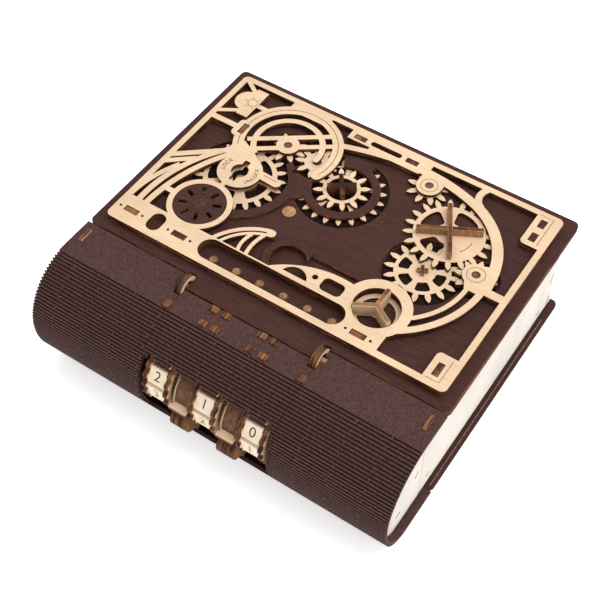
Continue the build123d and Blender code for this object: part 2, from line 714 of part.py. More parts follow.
spacer_shape = border
for shape in corner_blocks + top_band + emblem + left_struts[:2]:
    spacer_shape = spacer_shape + shape
spacer_shape = spacer_shape + ring_part(
    hub_x, hub_y, hub_ring_outer - 1.2, hub_ring_inner + 1.2, 60, 222)
spacer_shape = spacer_shape + long_arc[0] + long_arc[1]
spacer_shape = spacer_shape + block(104.0, 81.8, frame_half - 1, 87.6)
spacer_clear = [
    frame_holes[0], frame_holes[1], frame_holes[2],
    disc(dial_x, dial_y, 17.4),
    disc(key_x, key_y, tip_radius(key_teeth) + 1),
    disc(crest_x, crest_y, tip_radius(crest_teeth) + 1),
    disc(main_x, main_y, tip_radius(main_teeth) + 1),
    disc(link_x, link_y, tip_radius(link_teeth) + 1),
    disc(twin_x, twin_y, 26.0),
    disc(spoke_x, spoke_y, 15.6),
    disc(idler_x, idler_y, tip_radius(idler_teeth) + 1)]
for hole in spacer_clear:
    spacer_shape = spacer_shape - hole
for x, y, wide, deep in slots:
    spacer_shape = spacer_shape - Pos(x, y) * Rectangle(wide, deep)
for x, y in small_holes:
    spacer_shape = spacer_shape - disc(x, y, 0.9)
spacer_plate = plate(spacer_shape, 0)

frame_tabs = []
for x, y, wide, deep in slots:
    frame_tabs.append(solid_box(
        x - wide / 2 + slot_gap, x + wide / 2 - slot_gap,
        y - deep / 2 + slot_gap, y + deep / 2 - slot_gap, 0, 2 * ply - 0.5))

boss_pins = [
    rod_z(hub_x, hub_y, -ply, 2 * ply - 0.6, pin_radius),
    rod_z(crest_x, crest_y, 0, 2 * ply - 0.6, pin_radius),
    rod_z(link_x, link_y, -ply, 2 * ply - 0.6, pin_radius),
    rod_z(idler_x, idler_y, 0, ply, pin_radius)]

window_buttons = []
for index in range(6):
    x = -46.0 + index * 17.3
    window_buttons.append(rod_z(x, 18.6, -ply, -0.5, 4.0))
round_dowel = rod_z(-28.6, 76.0, 0, ply * 0.3, 4.4)

hinge_eyes = []
eye_shape = disc(hinge_y, hinge_z, hinge_eye_radius) - disc(
    hinge_y, hinge_z, hinge_pin_radius + shaft_gap)
for low in (-eye_outer, eye_inner):
    hinge_eyes.append(side_plate(eye_shape, low, eye_width))
eye_blocks = []
for side in (-1, 1):
    low = min(side * (tongue_half - 8), side * eye_inner)
    high = max(side * (tongue_half - 8), side * eye_inner)
    eye_blocks.append(solid_box(
        low, high, hinge_y - 2, hinge_y + 2, lid_under - ply, lid_under))
    eye_blocks.append(solid_box(
        min(side * tongue_half, side * eye_inner), max(side * tongue_half, side * eye_inner),
        hinge_y - 2.2, hinge_y + 5, lid_under, 0) - rod_x(
            -60, 60, hinge_y, hinge_z, hinge_pin_radius + shaft_gap))

# ---------------------------------------------------------------- gears of the key train
low_z = -ply + face_gap
gear_thick = ply - 2 * face_gap
pin_bore = pin_radius + shaft_gap

key_gear_shape = gear_shape(key_x, key_y, key_teeth, key_phase)
for opening in windows(key_x, key_y, 5, 14.0, 21.0, 24, -20):
    key_gear_shape = key_gear_shape - opening
key_gear_shape = key_gear_shape - keyhole(key_x, key_y, 5.2, 8.6, 3.8)
key_gear = plate(key_gear_shape, low_z, gear_thick)

hub_pinion = plate(
    gear_shape(hub_x, hub_y, hub_teeth, hub_phase) - disc(hub_x, hub_y, pin_bore),
    low_z, 2 * ply - 2 * face_gap)
idler_pinion = plate(
    gear_shape(idler_x, idler_y, idler_teeth, idler_phase) - disc(idler_x, idler_y, pin_bore),
    face_gap, gear_thick)

twin_hole = 9.6
twin_large_shape = gear_shape(twin_x, twin_y, twin_large_teeth, twin_large_phase)
twin_large_shape = twin_large_shape - disc(twin_x, twin_y, twin_hole)
for opening in windows(twin_x, twin_y, 5, 12.6, 21.4, 30, 0):
    twin_large_shape = twin_large_shape - opening
twin_large = plate(twin_large_shape, low_z, gear_thick)
twin_small = plate(
    gear_shape(twin_x, twin_y, twin_small_teeth, twin_small_phase)
    - disc(twin_x, twin_y, twin_hole), -face_gap, ply)


def crossed_plates(x, y, length, thick, z0, z1, angle):
    """Two upright plates halved into each other."""
    middle = (z0 + z1) / 2
    across = Box(length, thick, z1 - z0)
    first = Pos(0, 0, middle) * across
    first = first - solid_box(-thick / 2, thick / 2, -thick, thick, middle, z1 + 1)
    second = Pos(0, 0, middle) * Rot(0, 0, 90) * across
    second = second - solid_box(-thick, thick, -thick / 2, thick / 2, z0 - 1, middle)
    turn = Pos(x, y, 0) * Rot(0, 0, angle)
    return [turn * first, turn * second]


grip_top = ply + 5.8
grip_thick = 2.8
knob_length = 2 * math.sqrt(twin_hole ** 2 - (grip_thick / 2) ** 2) - 0.02
twin_knob = crossed_plates(
    twin_x, twin_y, knob_length, grip_thick, low_z, 2 * ply + 2.2, 35)
twin_base = rod_z(twin_x, twin_y, -ply, low_z, 0.9)

# ---------------------------------------------------------------- gears of the grip train
main_gear_shape = gear_shape(main_x, main_y, main_teeth, main_phase)
grip_angle = 28.7
for middle in (grip_angle + 45, grip_angle + 135, grip_angle + 225):
    opening = ring_part(main_x, main_y, 19.6, 9.0, middle - 27, middle + 27)
    main_gear_shape = main_gear_shape - fillet(opening.vertices(), 2.2)
main_gear = plate(main_gear_shape, face_gap, gear_thick)
main_grip = crossed_plates(
    main_x, main_y, 42.0, grip_thick, face_gap + gear_thick, grip_top, grip_angle)
crest_pinion = plate(
    gear_shape(crest_x, crest_y, crest_teeth, crest_phase) - disc(crest_x, crest_y, pin_bore),
    face_gap, gear_thick)
link_pinion = plate(
    gear_shape(link_x, link_y, link_teeth, link_phase) - disc(link_x, link_y, pin_bore),
    low_z, 2 * ply - 2 * face_gap)
lower_gear_shape = gear_shape(lower_x, lower_y, lower_teeth, lower_phase)
for opening in windows(lower_x, lower_y, 6, 8.6, 15.2, 19, 0):
    lower_gear_shape = lower_gear_shape - opening
lower_gear = plate(lower_gear_shape, low_z, gear_thick)
lower_axle = crossed_plates(
    lower_x, lower_y, 7.2, 2.4, low_z + gear_thick, ply - 2.2 * face_gap, 28)

# the main gear and the lower gear turn on short studs in the boards under them
stud_radius = 1.5
main_gear = main_gear - rod_z(main_x, main_y, 0, ply, stud_radius + shaft_gap)
lower_gear = lower_gear - rod_z(lower_x, lower_y, -ply, 0, stud_radius + shaft_gap)
gear_studs = [
    rod_z(main_x, main_y, 0, gear_thick, stud_radius),
    rod_z(lower_x, lower_y, -ply, low_z + gear_thick - face_gap, stud_radius)]

# ---------------------------------------------------------------- knobs
spoke_plates = []
spoke_height = 2 * ply + 3.0
for index in range(3):
    angle = 90 + index * 120
    spoke = solid_box(0, 14.4, -1.5, 1.5, low_z + 1.2, spoke_height)
    spoke_plates.append(Pos(spoke_x, spoke_y, 0) * Rot(0, 0, angle) * spoke)
spoke_hub = rod_z(spoke_x, spoke_y, low_z + 1.2, spoke_height, 1.9)
spoke_wheel = joined([spoke_hub] + spoke_plates)
spoke_floor_shape = ring(spoke_x, spoke_y, 15.2, 11.8) + disc(spoke_x, spoke_y, 3.0)
for index in range(3):
    angle = math.radians(90 + index * 120)
    spoke_floor_shape = spoke_floor_shape + bar(
        spoke_x, spoke_y, spoke_x + 13 * math.cos(angle), spoke_y + 13 * math.sin(angle), 3.4)
spoke_floor = plate(spoke_floor_shape, low_z, 1.2)

dial_shape = disc(dial_x, dial_y, 16.9)
for index in range(8):
    angle = 22.5 + index * 45
    dial_shape = dial_shape - Pos(dial_x, dial_y) * Rot(0, 0, angle) * Pos(11.2, 0) * Rectangle(6.0, 2.6)
dial_disc = plate(dial_shape, ply + face_gap, ply)
dial_axle = crossed_plates(
    dial_x, dial_y, 8.0, grip_thick, low_z, 2 * ply + face_gap, 12)
for solid in dial_axle:
    dial_disc = dial_disc - solid

# ---------------------------------------------------------------- bolt under the lid
rack_pitch = math.pi * rack_module
drive_radius = rack_module * rack_teeth / 2
shaft_tail = 1.6
key_shaft = rod_z(key_x, key_y, bolt_top, low_z, shaft_radius)
key_shaft = key_shaft + rod_z(key_x, key_y, bolt_top - ply, bolt_top, shaft_tail)


def drive_pinion_shape():
    tip = drive_radius + 0.8
    leaf = make_face([
        ThreePointArc((1.5, 0), ((tip + 1.5) / 2, 0.65), (tip, 0)),
        ThreePointArc((tip, 0), ((tip + 1.5) / 2, -0.65), (1.5, 0))])
    shape = Circle(drive_radius - 1.0)
    for index in range(rack_teeth):
        shape = shape + Rot(0, 0, index * 360 / rack_teeth) * leaf
    return Pos(key_x, key_y) * shape


drive_pinion = plate(drive_pinion_shape(), bolt_top - ply, ply)
drive_pinion = drive_pinion - key_shaft
bolt_back = key_y - 12.0
bolt_tip = 160.4
rack_line = key_x + drive_radius
bolt_left = rack_line + 1.25
bolt = solid_box(bolt_left, bolt_left + bolt_width, bolt_back, bolt_tip, bolt_top - ply, bolt_top)
for index in range(-3, 4):
    y = key_y + (index + 0.5) * rack_pitch
    tooth = make_face(Polyline(
        (bolt_left + 0.1, y - 0.85), (rack_line - 0.65, y - 0.25),
        (rack_line - 0.65, y + 0.25), (bolt_left + 0.1, y + 0.85), close=True))
    bolt = bolt + plate(tooth, bolt_top - ply, ply)

guides = []
for y in (key_y + 26, 146.0):
    left = bolt_left - slot_gap - 3
    right = bolt_left + bolt_width + slot_gap + 3
    strap = solid_box(left, right, y - 5, y + 5, bolt_top - ply - 0.3 - ply, lid_under)
    strap = strap - solid_box(
        bolt_left - slot_gap, bolt_left + bolt_width + slot_gap, y - 6, y + 6,
        bolt_top - ply - 0.3, lid_under + 1)
    guides.append(strap)

# ---------------------------------------------------------------- write the nodes
save("back_cover", [back_cover])
save("floor_board", [floor_board])
save("spine_end_walls", spine_ends)
save("page_walls", page_walls)
save("fore_edge_wall", [fore_edge_wall])
save("inner_spine_wall", [inner_spine_wall])
save("spine_skin_left", [skin_left])
save("spine_skin_centre", [skin_centre])
save("spine_skin_right", [skin_right])
save("spine_formers", formers)
save("spine_tabs", spine_tabs + edge_tabs)
save("tab_board", [tab_board])
save("hinge_pins", hinge_pins)
save("wheel_axle", [wheel_axle])
save("divider_blocks", divider_blocks)
save("divider_noses", divider_noses)
save("pointer_strips", pointers)
save("locking_comb", [comb])
for index, name in enumerate(("left", "middle", "right")):
    save("code_drum_" + name, drums[index])
    save("code_rims_" + name, rims[index])
    save("number_tiles_" + name, tiles[index])
save("lid_base_board", [lid_base])
save("lid_top_board", [lid_top])
save("frame_spacer", [spacer_plate])
save("frame_plate", [frame_plate])
save("frame_tabs", frame_tabs)
save("guard_plate", [guard_plate])
save("lock_plate", [lock_plate])
save("hinge_eyes", hinge_eyes)
save("eye_blocks", eye_blocks)
save("boss_pins", boss_pins)
save("gear_studs", gear_studs)
save("window_buttons", window_buttons)
save("round_dowel", [round_dowel])
save("bolt_guides", guides)
save("rack_bolt", [bolt])
save("key_gear", [key_gear])
save("key_shaft", [key_shaft])
save("drive_pinion", [drive_pinion])
save("hub_pinion", [hub_pinion])
save("idler_pinion", [idler_pinion])
save("twin_large_gear", [twin_large])
save("twin_small_gear", [twin_small])
save("twin_knob", twin_knob + [twin_base])
save("main_gear", [main_gear])
save("main_grip", main_grip)
save("crest_pinion", [crest_pinion])
save("link_pinion", [link_pinion])
save("lower_gear", [lower_gear])
save("lower_axle", lower_axle)
save("spoke_wheel", [spoke_wheel])
save("spoke_floor", [spoke_floor])
save("dial_disc", [dial_disc])
save("dial_axle", dial_axle)
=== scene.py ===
import bmesh
import bpy
import json
import math
from mathutils import Matrix, Vector


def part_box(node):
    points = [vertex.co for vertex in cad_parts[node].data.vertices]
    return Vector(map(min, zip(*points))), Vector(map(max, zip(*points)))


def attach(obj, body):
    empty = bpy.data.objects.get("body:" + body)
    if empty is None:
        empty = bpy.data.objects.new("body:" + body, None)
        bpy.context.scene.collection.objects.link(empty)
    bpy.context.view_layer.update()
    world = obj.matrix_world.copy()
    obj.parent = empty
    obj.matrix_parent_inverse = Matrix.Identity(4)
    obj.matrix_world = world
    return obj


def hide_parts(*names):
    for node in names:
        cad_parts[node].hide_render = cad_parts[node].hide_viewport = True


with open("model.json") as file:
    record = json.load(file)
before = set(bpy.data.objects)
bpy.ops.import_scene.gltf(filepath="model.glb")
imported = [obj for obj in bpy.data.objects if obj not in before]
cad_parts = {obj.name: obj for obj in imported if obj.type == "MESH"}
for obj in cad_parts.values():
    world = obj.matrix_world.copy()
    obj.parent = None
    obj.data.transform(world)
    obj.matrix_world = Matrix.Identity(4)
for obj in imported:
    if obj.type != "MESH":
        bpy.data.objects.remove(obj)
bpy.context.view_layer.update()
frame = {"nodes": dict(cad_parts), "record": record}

# ---------------------------------------------------------------- sizes, in millimetres
# x runs along the spine, y from the spine to the pages, z up. Height 0 is the top of the
# dark boards of the lid.
MM = 0.001
PLY = 2.4
CASE_HEIGHT = 83.5
MIDDLE_Y = 51.75             # the middle of the box lies this far behind the lid's front edge
FRAME_TOP = 2 * PLY
MAIN_TOP = PLY - 0.1         # top of the main gear
COVER_TOP = PLY - CASE_HEIGHT

# middles of the gears on the lid
KEY = (-73.0, 84.7)
HUB = (-60.0, 121.4)
TWIN = (-10.3, 109.6)
MAIN = (66.0, 114.7)
CREST = (36.0, 141.6)
LINK = (96.3, 93.1)
LOWER = (66.4, 80.9)
DIAL = (-77.5, 47.0)
POCKETS = [(KEY, 32.0), (HUB, 14.0), (TWIN, 30.5), (LINK, 14.0), (LOWER, 25.0), (DIAL, 8.8)]
POCKET_SHARE = 0.98          # the painted shade covers this much of a pocket's radius

# engraving
INK_LIFT = 0.03              # engraved lines stand this far off the board
INK_THICK = 0.05
HUB_ARC_RADIUS = 33.3
CREST_RING_RADIUS = 5.6
LINK_RING_RADIUS = 5.8
MAIN_ARC_RADIUS = 15.5
KEY_LINE = [(-57.5, 89.9), (-47.5, 89.4)]
CORNER_LINES = [
    [(107.3, 12.4), (116.2, 12.4), (116.2, 29.5)],
    [(107.3, 158.6), (116.2, 158.6), (116.2, 134.0)]]
SUN = (-102.6, 141.4)
SUN_RADIUS = 3.4
RAYS = 6
RAY_NEAR, RAY_FAR = 4.4, 6.0
WORD_RADIUS = 11.2
LETTER_THICK = 0.08

# code wheels
WHEEL_Y, WHEEL_Z = -39.5, -36.4
WHEEL_CENTRES = {"left": -32.3, "middle": 2.2, "right": 36.7}
FIRST_DIGIT = {"left": 2, "middle": 1, "right": 0}
FIRST_ANGLE = 148.0
DIGITS = 10
FLAT_RADIUS = 22.6
TILE_WIDE, TILE_LONG = 12.4, 11.4
TILE_EASE = 0.3
DIGIT_SIZE = 9.6
DIGIT_SINK = 0.02
DIGIT_THICK = 0.04
RIM_THICK = 3.4

# bands round the dividers between the wheels
BAND_OUTER, BAND_INNER = 23.0, 20.5
BAND_THICK = 0.9
BAND_GAP = 0.5
BAND_START, BAND_SWEEP = 92, 150

# round spine: an upper ellipse, and a tighter one for the heel below it
SPINE_Y, SPINE_A, SPINE_B = -24.0, 39.3, 42.0
HEEL_Y, HEEL_A, HEEL_B = -34.0, 29.3, 41.5
SLIT_START, SLIT_END, SLIT_TURN = 98.0, 252.0, 0.1
SLIT_PITCH = 2.3
SLIT_WIDE = 1.0
SLIT_DEEP = 1.6
BRIDGE = 0.8                 # wood left between two slits of a row
DASH = 66.0                  # a slit and its bridge
ROW_SHIFTS = 3               # rows that pass before the bridges line up again
ROW_LEAD = 5.0
SLIT_OVERRUN = 1.0
SHORTEST_SLIT = 4.0

# hinge eyes
HINGE_Y, HINGE_Z = -7.0, -2.4
ARCH_OUTER, ARCH_THICK = 8.2, 3.6
ARCH_STARTS = (-50.9, -48.45, 46.1, 48.55)
ARCH_WIDE = 2.35
ARCH_START, ARCH_SWEEP = -30, 240
ARCH_EASE = 0.25
ROUND_STEPS = 40

# end walls
WALL_X = 124.8
WALL_SLOTS = [
    ((-1.1, -66.7), (-4.5, -68.5)), ((-17.5, -43.0), (-20.9, -46.7)),
    ((-35.6, -64.2), (-40.1, -65.3)), ((159.6, -42.7), (156.5, -50.1)),
    ((161.6, -67.8), (159.1, -75.0)), ((147.5, -69.5), (143.3, -72.0))]
WALL_SLOT_WIDE = 1.3
WALL_LINE_LONG, WALL_LINE_WIDE = 176.0, 0.7
WALL_LINE_Y, WALL_LINE_Z = 75.5, -78.2
MARK_THICK = 0.08
MARK_SINK = 0.01
BRACKET_MIDDLE, BRACKET_LONG, BRACKET_TOP = -10.9, 10.6, 1.04
BRACKET_SPARE = 0.1

# buttons in the long window
BUTTONS = 6
BUTTON_FIRST_X, BUTTON_PITCH, BUTTON_Y = -46.0, 17.3, 18.6
BUTTON_RIM_RADIUS, BUTTON_RIM_TOP = 4.0, -1.7
BUTTON_RADIUS, BUTTON_LOW, BUTTON_TOP = 2.7, -1.8, -0.5
BUTTON_RIM_EASE, BUTTON_EASE = 0.3, 0.45

# guard's apron over the back of the twin gear
APRON_INNER, APRON_OUTER = 19.8, 30.0
APRON_START, APRON_SWEEP, APRON_STEPS = 73, 45, 15
APRON_LOW = 0.12
APRON_THICK = PLY - 0.14

# painted highlight along the seam between the back cover and the walls
SEAM_X = 127.4
SEAM_FRONT, SEAM_BACK = -2.0, 150.0
SEAM_WIDE = 0.5

# how far the edges of each board are eased
EASED = {
    "frame_plate": 0.22, "frame_spacer": 0.2, "lid_top_board": 0.3, "lid_base_board": 0.3,
    "back_cover": 0.3, "guard_plate": 0.2, "dial_disc": 0.2, "main_gear": 0.22,
    "twin_large_gear": 0.22, "twin_small_gear": 0.22, "key_gear": 0.22, "lower_gear": 0.22,
    "crest_pinion": 0.22, "link_pinion": 0.22, "hub_pinion": 0.22, "idler_pinion": 0.22,
    "main_grip": 0.25, "twin_knob": 0.25, "spoke_wheel": 0.25, "spine_tabs": 0.25,
    "frame_tabs": 0.2, "code_rims_left": 0.25, "code_rims_middle": 0.25,
    "code_rims_right": 0.25, "lock_plate": 0.2, "lower_axle": 0.2}

# stage, light and camera, in metres
FLOOR_SIZE = 20.0
FLOOR_DROP = 0.0002
FLOOR_GLOW = 0.5
LIGHT_AIM = (0, 0, 0.05)
SKY_STRENGTH = 0.72
CAMERA_SPOT = (0.25278, -0.38491, 0.63729)
CAMERA_AIM = (0.016353, -0.030544, 0.0835)
CAMERA_LENS = 69.92


def place(x, y, z):
    """A point of the drawing, in the frame of the model and in metres."""
    return Vector((x, y - MIDDLE_Y, z + CASE_HEIGHT)) * MM


def flat_turn(x, y, z, angle):
    """A drawing on the XY plane, turned and set down at x, y, z."""
    return Matrix.Translation(place(x, y, z)) @ Matrix.Rotation(math.radians(angle), 4, "Z")


def circle_points(x, y, radius, start, end, steps):
    """Points of an arc, its angles in degrees."""
    points = []
    for number in range(steps + 1):
        angle = math.radians(start + (end - start) * number / steps)
        points.append((x + radius * math.cos(angle), y + radius * math.sin(angle)))
    return points


# ---------------------------------------------------------------- finishes
WHITE = (1, 1, 1, 1)
BUMP_DEPTH = 0.0002
FLAT_LIMIT = 0.93            # a face is square to an axis when its normal goes this far along it


def colour(red, green, blue):
    """A paint colour given as it looks, 0 to 255, as Blender's linear colour."""
    return tuple((v / 255) ** 2.2 for v in (red, green, blue)) + (1.0,)


def grey(strength):
    return (strength, strength, strength, 1)


class Finish:
    """A small helper that lays out one procedural material."""

    def __init__(self, name):
        self.material = bpy.data.materials.new(name)
        self.material.use_nodes = True
        self.tree = self.material.node_tree
        self.shader = self.tree.nodes["Principled BSDF"]
        self.coords = self.tree.nodes.new("ShaderNodeTexCoord")

    def node(self, kind, **values):
        made = self.tree.nodes.new(kind)
        for key, value in values.items():
            setattr(made, key, value)
        return made

    def link(self, source, target):
        self.tree.links.new(source, target)

    def noise(self, scale, stretch=(1, 1, 1), detail=4.0, roughness=0.6):
        spread = self.node("ShaderNodeMapping")
        spread.inputs["Scale"].default_value = stretch
        self.link(self.coords.outputs["Object"], spread.inputs["Vector"])
        made = self.node("ShaderNodeTexNoise")
        made.inputs["Scale"].default_value = scale
        made.inputs["Detail"].default_value = detail
        made.inputs["Roughness"].default_value = roughness
        self.link(spread.outputs["Vector"], made.inputs["Vector"])
        return made.outputs["Fac"]

    def ramp(self, source, first, last):
        """Colour running between two stops, each a position and a colour."""
        made = self.node("ShaderNodeValToRGB")
        points = made.color_ramp.elements
        points[0].position, points[0].color = first
        points[1].position, points[1].color = last
        self.link(source, made.inputs["Fac"])
        return made.outputs["Color"]

    def mixed(self, share, first, second, blend="MIX"):
        """The colour that a Mix node gives, with plain colours or sockets on either side."""
        made = self.node("ShaderNodeMix", data_type="RGBA", blend_type=blend)
        sockets = {s.identifier: s for s in made.inputs}
        for value, name in ((share, "Factor_Float"), (first, "A_Color"), (second, "B_Color")):
            if isinstance(value, bpy.types.NodeSocket):
                self.link(value, sockets[name])
            else:
                sockets[name].default_value = value
        return [s for s in made.outputs if s.identifier == "Result_Color"][0]

    def flat_side(self, axis):
        """1 on faces square to an axis of the drawing, 0 on the cut edges."""
        split = self.node("ShaderNodeSeparateXYZ")
        self.link(self.coords.outputs["Normal"], split.inputs[0])
        size = self.node("ShaderNodeMath", operation="ABSOLUTE")
        self.link(split.outputs[axis], size.inputs[0])
        test = self.node("ShaderNodeMath", operation="GREATER_THAN")
        self.link(size.outputs[0], test.inputs[0])
        test.inputs[1].default_value = FLAT_LIMIT
        return test.outputs[0]

    def surface(self, tint, height, roughness, gloss, bump):
        """Colour, gloss and fine relief of the finished material."""
        self.link(tint, self.shader.inputs["Base Color"])
        self.shader.inputs["Roughness"].default_value = roughness
        self.shader.inputs["Specular IOR Level"].default_value = gloss
        ridge = self.node("ShaderNodeBump")
        ridge.inputs["Strength"].default_value = bump
        ridge.inputs["Distance"].default_value = BUMP_DEPTH
        self.link(height, ridge.inputs["Height"])
        self.link(ridge.outputs["Normal"], self.shader.inputs["Normal"])


def plywood(name, light, dark, edge_dark, edge_light, axis, roughness=0.62, grain="X",
            bump=0.12, speckle=0.0, upright=False, gloss=0.2):
    """Laser-cut plywood: a grained face and burnt, layered cut edges.

    An upright board shows its cut edge on top, square to the axis, and its faces all round.
    """
    finish = Finish(name)
    along = {"X": (1, 14, 14), "Z": (14, 14, 1)}[grain]
    fibres = finish.noise(90.0, along, detail=6.0, roughness=0.65)
    clouds = finish.noise(22.0, (1, 2, 1), detail=3.0, roughness=0.5)
    cloud_tint = finish.ramp(clouds, (0.3, grey(0.86)), (0.7, WHITE))
    face = finish.ramp(fibres, (0.32, dark), (0.68, light))
    face = finish.mixed(1.0, face, cloud_tint, "MULTIPLY")
    if speckle:
        pores = finish.noise(900.0, detail=2.0, roughness=0.5)
        dots = finish.ramp(pores, (0.35, grey(1 - speckle)), (0.65, WHITE))
        face = finish.mixed(1.0, face, dots, "MULTIPLY")
    across = tuple(1.6 if number == axis else 0.12 for number in range(3))
    layers = finish.noise(420.0, across, detail=3.0, roughness=0.7)
    scorch = finish.noise(150.0, detail=3.0)
    edge = finish.ramp(layers, (0.42, edge_dark), (0.60, edge_light))
    soot = finish.ramp(scorch, (0.3, grey(0.55)), (0.7, WHITE))
    edge = finish.mixed(1.0, edge, soot, "MULTIPLY")
    if upright:
        face, edge = edge, face
    tint = finish.mixed(finish.flat_side(axis), edge, face)
    finish.surface(tint, fibres, roughness, gloss, bump)
    return finish.material


def mottled(name, light, deep, roughness, scale=220.0):
    """A softly mottled finish for small turned pieces, burnt lines, painted shade and painted
    highlights.
    """
    finish = Finish(name)
    mottle = finish.noise(scale, detail=5.0)
    tint = finish.ramp(mottle, (0.34, deep), (0.66, light))
    finish.surface(tint, mottle, roughness, 0.25, 0.15)
    return finish.material


DARK_LIGHT = colour(88, 60, 54)
DARK_DEEP = colour(67, 44, 40)
DARK_EDGE = colour(38, 23, 19)
DARK_EDGE_LIGHT = colour(74, 48, 37)
SINGED = colour(56, 32, 22)
SINGED_LIGHT = colour(142, 92, 60)
PALE_LIGHT = colour(237, 208, 175)
PALE_DEEP = colour(222, 187, 150)
BURNT = colour(56, 31, 21)
BURNT_LIGHT = colour(134, 86, 56)
CREAM_LIGHT = colour(224, 217, 209)
CREAM_DEEP = colour(209, 200, 190)
CREAM_EDGE = colour(140, 102, 70)
CREAM_EDGE_LIGHT = colour(196, 166, 132)

AXIS = {"x": 0, "y": 1, "z": 2}
dark_ply = {}
for letter in "yz":
    dark_ply[letter] = plywood(
        "dark_ply_" + letter, DARK_LIGHT, DARK_DEEP, DARK_EDGE, DARK_EDGE_LIGHT, AXIS[letter],
        roughness=0.75, bump=0.2, speckle=0.16, gloss=0.1)
pale_ply = {}
for letter in "xyz":
    pale_ply[letter] = plywood(
        "pale_ply_" + letter, PALE_LIGHT, PALE_DEEP, BURNT, BURNT_LIGHT, AXIS[letter],
        roughness=0.6, bump=0.08)
cream_ply = {}
for letter in "xy":
    cream_ply[letter] = plywood(
        "cream_ply_" + letter, CREAM_LIGHT, CREAM_DEEP, CREAM_EDGE, CREAM_EDGE_LIGHT,
        AXIS[letter], roughness=0.75, bump=0.05)
singed_ply = plywood(
    "singed_dark_ply", DARK_LIGHT, DARK_DEEP, SINGED, SINGED_LIGHT, AXIS["z"],
    roughness=0.75, bump=0.2, speckle=0.16, gloss=0.1)
upright_ply = plywood(
    "upright_ply", colour(190, 148, 106), colour(128, 86, 56), colour(64, 37, 25),
    colour(134, 88, 58), AXIS["z"], roughness=0.65, bump=0.1, grain="Z", upright=True)
upright_pale = plywood(
    "upright_pale", colour(232, 200, 162), colour(204, 164, 122), colour(92, 55, 38),
    colour(172, 124, 86), AXIS["z"], roughness=0.62, bump=0.1, grain="Z", upright=True)
tab_ply = plywood(
    "tab_ply", colour(150, 106, 70), colour(96, 62, 42), colour(82, 49, 33),
    colour(158, 108, 74), AXIS["z"], roughness=0.7, grain="Z", upright=True)
knob_ply = plywood(
    "knob_ply", colour(124, 84, 58), colour(66, 40, 28), colour(58, 34, 24),
    colour(126, 82, 56), AXIS["z"], roughness=0.7, grain="Z", upright=True)
stud_ply = plywood(
    "stud_ply", colour(186, 142, 102), colour(128, 86, 58), colour(76, 44, 30),
    colour(156, 104, 70), AXIS["x"], roughness=0.7, grain="Z")
scorched_ply = plywood(
    "scorched_ply", colour(156, 112, 76), colour(104, 68, 46), colour(60, 35, 24),
    colour(128, 84, 56), AXIS["x"], roughness=0.7, grain="Z")

engraved = mottled("engraved_line", colour(140, 98, 62), colour(104, 68, 40), 0.85)
digit_ink = mottled("digit_burn", colour(70, 46, 34), colour(46, 28, 20), 0.85)
tile_face = mottled("tile_face", colour(243, 226, 200), colour(232, 211, 182), 0.6, 180.0)
tan_wood = mottled("tan_wood", colour(188, 146, 104), colour(140, 98, 64), 0.65, 400.0)
button_wood = mottled("button_wood", colour(170, 126, 88), colour(108, 72, 48), 0.65, 420.0)
band_wood = mottled("band_wood", colour(122, 88, 62), colour(82, 54, 38), 0.7, 340.0)
deep_wood = mottled("deep_wood", colour(90, 60, 40), colour(58, 36, 25), 0.7, 260.0)
spine_board = mottled("spine_board", colour(88, 61, 56), colour(62, 42, 39), 0.78, 700.0)
# painted shade: a near-black finish for the discs that stand for the shadow in the gear pockets
painted_pocket_shade = mottled("painted_pocket_shade", colour(38, 23, 20), colour(26, 15, 13), 0.9, 300.0)
# painted highlight: a light strip that stands for the glint on the back cover's eased outer edge
cover_edge_highlight = mottled("cover_edge_highlight", colour(150, 128, 118), colour(108, 84, 74), 0.7, 500.0)

node_finish = {
    "back_cover": dark_ply["z"], "floor_board": dark_ply["z"],
    "spine_end_walls": cream_ply["x"], "page_walls": cream_ply["x"],
    "fore_edge_wall": cream_ply["y"], "inner_spine_wall": dark_ply["y"],
    "spine_formers": deep_wood, "spine_tabs": stud_ply, "tab_board": dark_ply["z"],
    "hinge_pins": tan_wood, "wheel_axle": tan_wood, "divider_blocks": band_wood,
    "divider_noses": scorched_ply, "pointer_strips": pale_ply["z"],
    "locking_comb": pale_ply["y"],
    "lid_base_board": dark_ply["z"], "lid_top_board": singed_ply,
    "frame_spacer": pale_ply["z"], "frame_plate": pale_ply["z"], "frame_tabs": tab_ply,
    "guard_plate": singed_ply, "lock_plate": singed_ply, "eye_blocks": dark_ply["z"],
    "boss_pins": band_wood, "gear_studs": band_wood, "window_buttons": deep_wood,
    "round_dowel": tan_wood, "bolt_guides": pale_ply["z"], "rack_bolt": pale_ply["z"],
    "key_gear": pale_ply["z"], "key_shaft": tan_wood, "drive_pinion": pale_ply["z"],
    "hub_pinion": pale_ply["z"], "idler_pinion": pale_ply["z"],
    "twin_large_gear": pale_ply["z"], "twin_small_gear": pale_ply["z"],
    "twin_knob": knob_ply, "main_gear": pale_ply["z"], "main_grip": upright_ply,
    "crest_pinion": pale_ply["z"], "link_pinion": pale_ply["z"],
    "lower_gear": pale_ply["z"], "lower_axle": upright_ply, "spoke_wheel": upright_pale,
    "spoke_floor": pale_ply["z"], "dial_disc": singed_ply, "dial_axle": deep_wood}
for wheel in WHEEL_CENTRES:
    node_finish["code_drum_" + wheel] = deep_wood
    node_finish["code_rims_" + wheel] = pale_ply["x"]


def dress(thing, finish):
    """Give every material slot of a piece the same finish."""
    data = thing.data
    if not data.materials:
        data.materials.append(finish)
    for number in range(len(data.materials)):
        data.materials[number] = finish


for node_name, finish in node_finish.items():
    dress(frame["nodes"][node_name], finish)


# ---------------------------------------------------------------- making pieces
def set_out(name, data):
    """A new object in the scene."""
    thing = bpy.data.objects.new(name, data)
    bpy.context.scene.collection.objects.link(thing)
    return thing


def mesh_of(shape, name):
    """Turn a bmesh into a mesh and let the bmesh go."""
    mesh = bpy.data.meshes.new(name)
    shape.to_mesh(mesh)
    shape.free()
    return mesh


